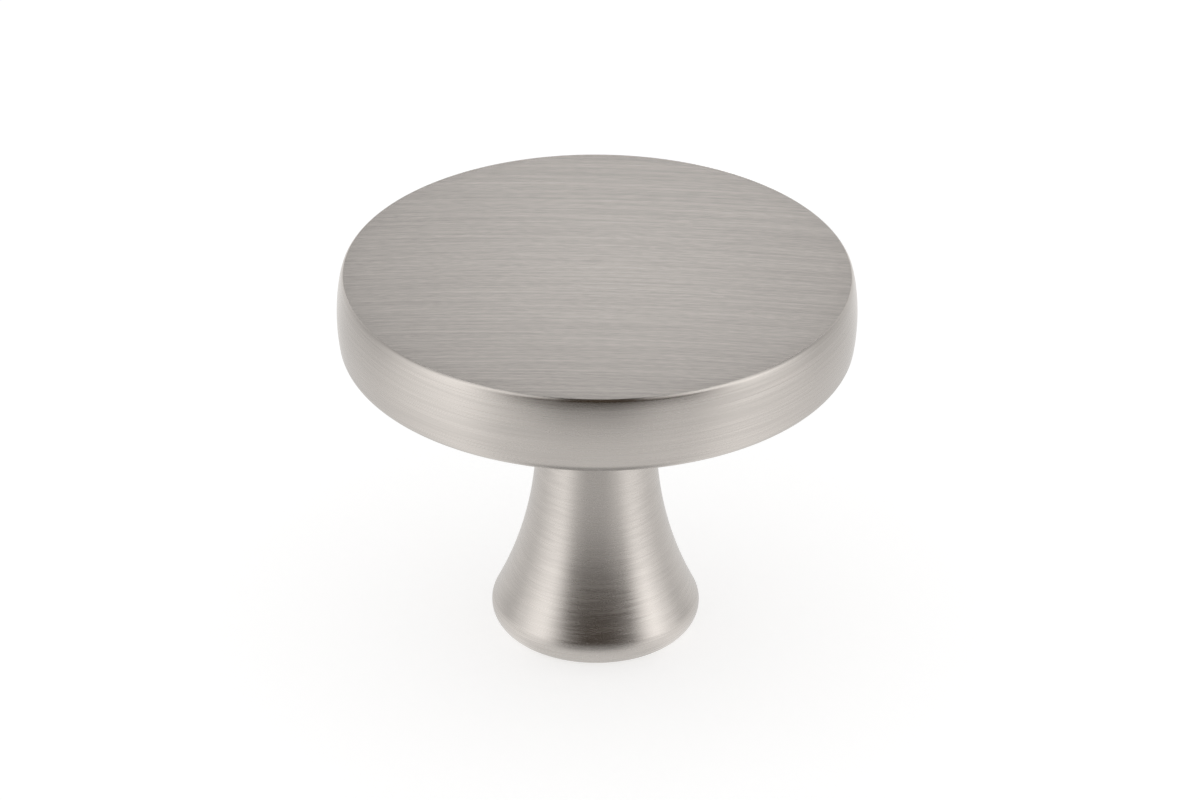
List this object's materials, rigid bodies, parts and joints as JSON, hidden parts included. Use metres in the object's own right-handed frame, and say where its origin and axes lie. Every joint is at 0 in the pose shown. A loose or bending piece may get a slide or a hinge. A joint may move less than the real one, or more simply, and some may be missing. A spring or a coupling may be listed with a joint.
{
  "type": "cabinet knob",
  "caption": "Round flat-topped cabinet knob with a barrel rim on a waisted stem, satin brushed metal, tapped blind in its foot.",
  "frame": {"origin": "centre of the mounting face at the foot of the stem", "axes": "+Z along the knob's axis, from the mounting face to the finger face; +X along the brush lines of the finger face"},
  "size_m": [0.035, 0.035, 0.027],
  "materials": {
    "brushed_nickel": "satin brushed nickel plate: straight brush lines on the finger face, lines round the rim and the stem"
  },
  "bodies": {
    "root": {"knob": "brushed_nickel"}
  },
  "joints": []
}
